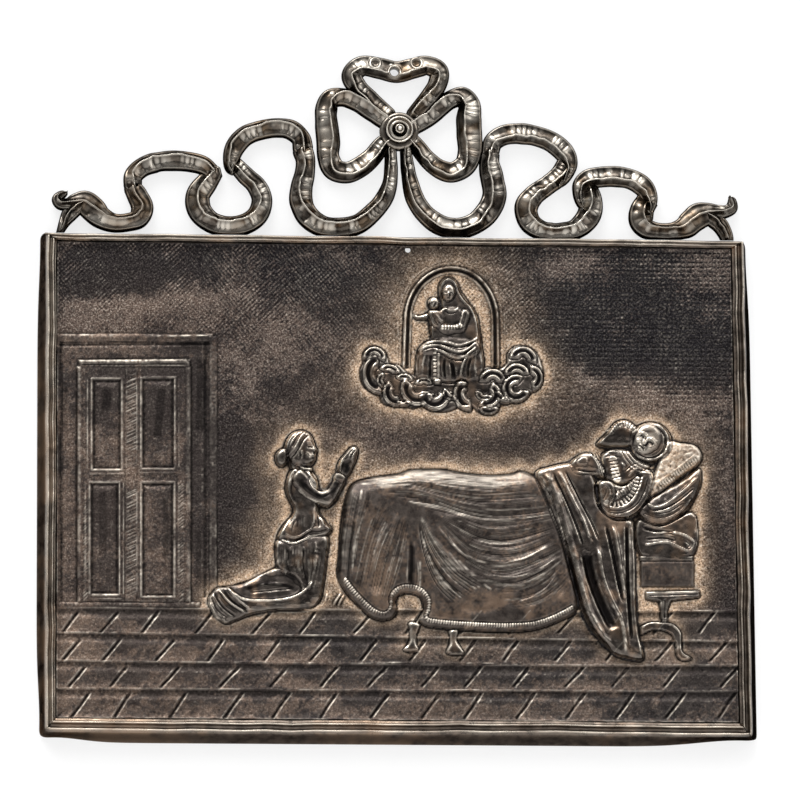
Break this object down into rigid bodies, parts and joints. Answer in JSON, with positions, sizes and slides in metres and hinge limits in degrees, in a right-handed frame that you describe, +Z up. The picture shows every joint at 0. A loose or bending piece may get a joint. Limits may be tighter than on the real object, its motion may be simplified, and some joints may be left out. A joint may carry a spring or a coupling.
{
  "type": "ex-voto plaque",
  "caption": "Wall-hung embossed silver votive plaque: a bedside prayer scene in a beaded frame, under a ribbon-bow crest with a rosette and a hanging hole.",
  "frame": {"origin": "centre of the hanging hole, on the wall plane behind the plaque", "axes": "+X to the right as the plaque is seen, +Z up, +Y into the wall; the plaque faces -Y"},
  "size_m": [0.1792, 0.006, 0.1769],
  "materials": {
    "panel_silver": "embossed silver sheet with dark patina in the recesses and rubbed high points",
    "frame_silver": "rolled silver strip, brown patina, bright worn beads",
    "crest_silver": "chased silver ribbon, bright ridges and dark side walls",
    "rosette_silver": "turned silver rosette with a bright rim and a dark dish"
  },
  "bodies": {
    "root": {"relief_panel": "panel_silver", "frame_top": "frame_silver", "frame_bottom": "frame_silver", "frame_left": "frame_silver", "frame_right": "frame_silver", "bow_top_loop": "crest_silver", "bow_left_loop": "crest_silver", "bow_right_loop": "crest_silver", "lower_left_loop": "crest_silver", "lower_right_loop": "crest_silver", "left_inner_arch": "crest_silver", "right_inner_arch": "crest_silver", "left_curl": "crest_silver", "right_curl": "crest_silver", "left_outer_arch": "crest_silver", "right_outer_arch": "crest_silver", "left_tail": "crest_silver", "right_tail": "crest_silver", "rosette_boss": "rosette_silver", "rosette_stud": "rosette_silver"}
  },
  "joints": []
}
